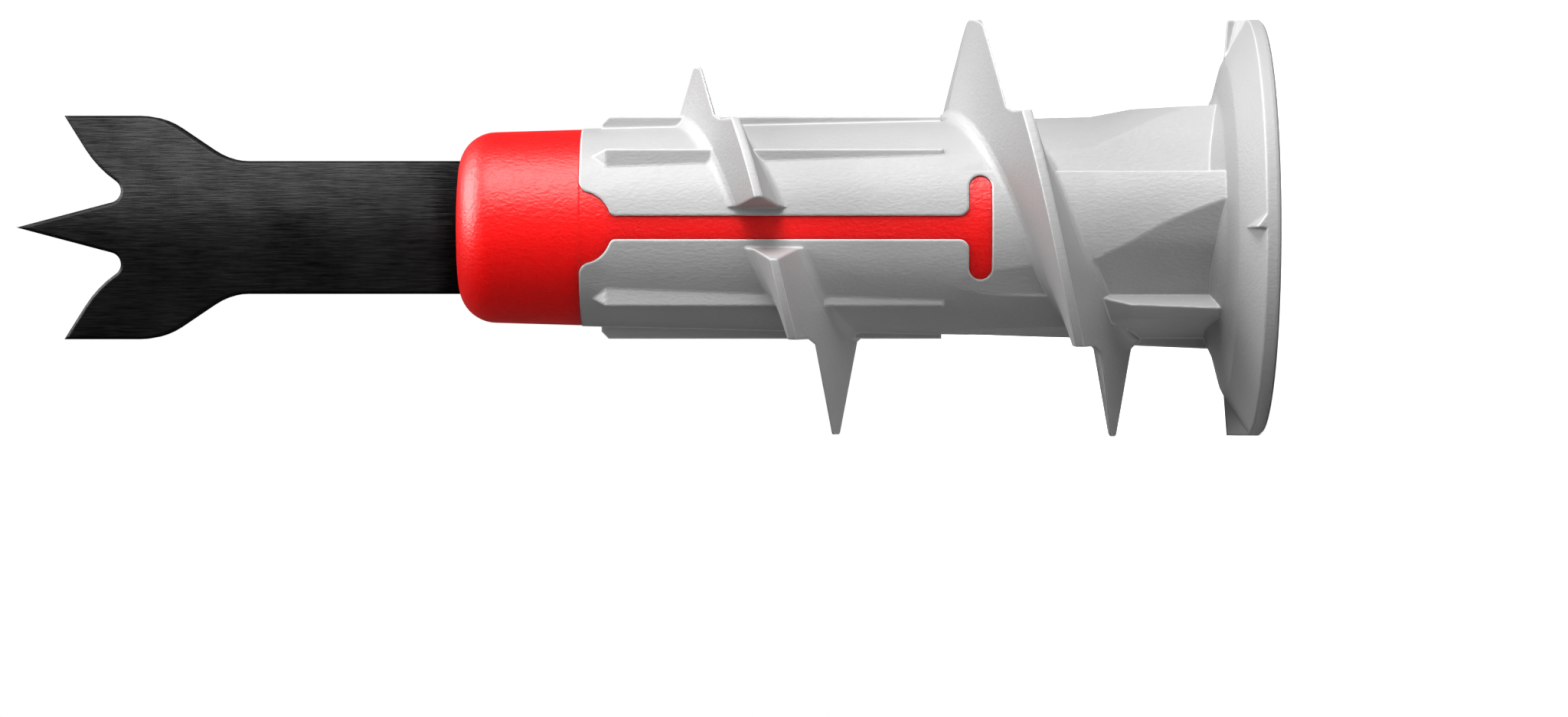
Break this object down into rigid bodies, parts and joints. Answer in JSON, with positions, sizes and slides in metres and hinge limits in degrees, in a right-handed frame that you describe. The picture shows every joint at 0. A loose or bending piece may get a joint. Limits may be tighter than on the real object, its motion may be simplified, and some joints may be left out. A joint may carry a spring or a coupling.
{
  "type": "self-drilling drywall anchor",
  "caption": "Self-drilling plasterboard anchor: grey threaded sleeve with a wide flange, red nose insert and a flat steel cutting blade with three points.",
  "frame": {"origin": "on the anchor's axis, in the outer face of the flange, which is the face it stands on", "axes": "+Z along the axis from the flange to the blade's point; the blade is flat in the plane Y = 0 and wide along X; the picture looks along +Y"},
  "size_m": [0.0148, 0.0148, 0.044],
  "materials": {
    "blackened_steel": "brushed and blackened",
    "grey_nylon": "fine spark-eroded grain",
    "red_plastic": "satin with a light leather grain"
  },
  "bodies": {
    "root": {"drill_blade": "blackened_steel", "anchor_sleeve": "grey_nylon", "nose_insert": "red_plastic"}
  },
  "joints": []
}
